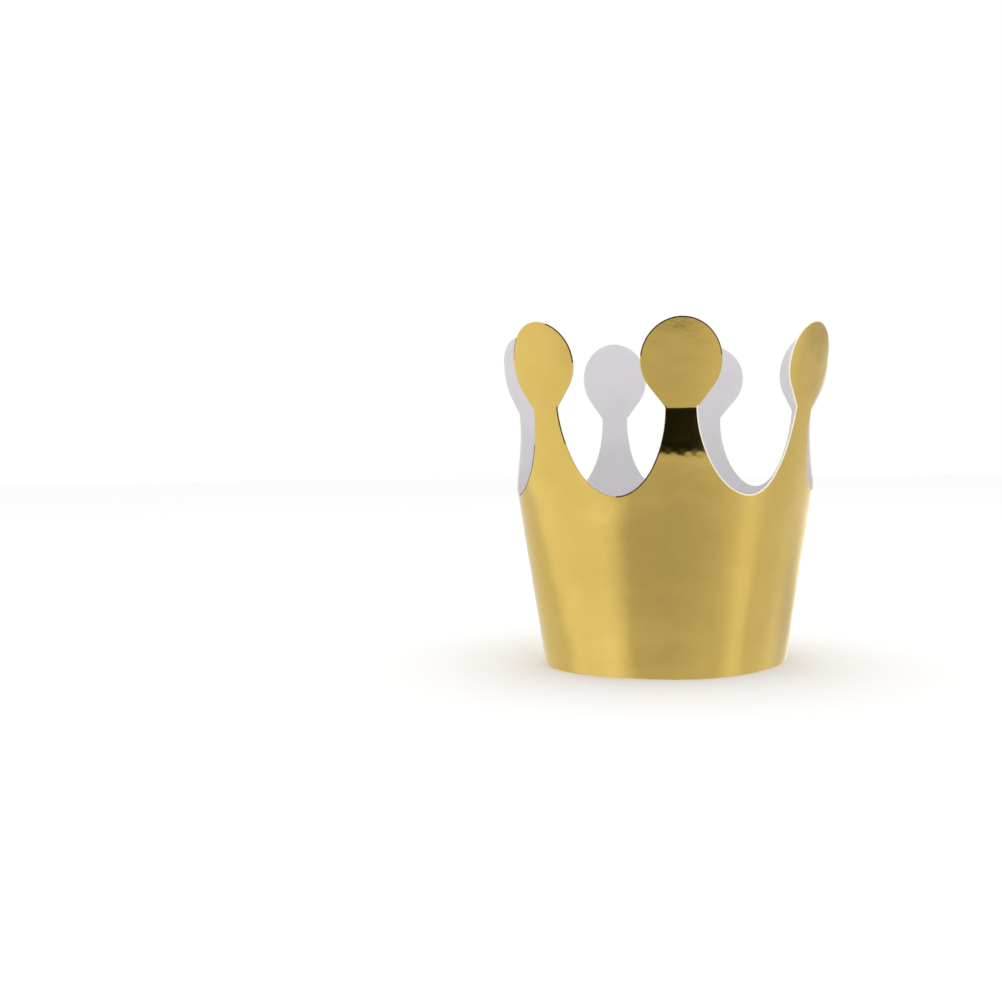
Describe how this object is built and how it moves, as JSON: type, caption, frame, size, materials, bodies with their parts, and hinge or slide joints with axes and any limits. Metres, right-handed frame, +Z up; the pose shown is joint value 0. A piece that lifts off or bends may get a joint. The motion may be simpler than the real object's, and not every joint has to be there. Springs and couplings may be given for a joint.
{
  "type": "paper crown",
  "caption": "Small party crown rolled from one die-cut sheet of gold foil card, white inside, with flared sides and disc-tipped prongs between deep scallops.",
  "frame": {"origin": "below the middle of the crown's outline, on the surface that its rim stands on", "axes": "+Z up from the rim to the discs; -Y towards the front prong; the lap is at the back"},
  "size_m": [0.131, 0.1122, 0.1339],
  "materials": {
    "foil_card": "gold foil outside, white inside"
  },
  "bodies": {
    "root": {"crown_sheet": "foil_card"}
  },
  "joints": []
}
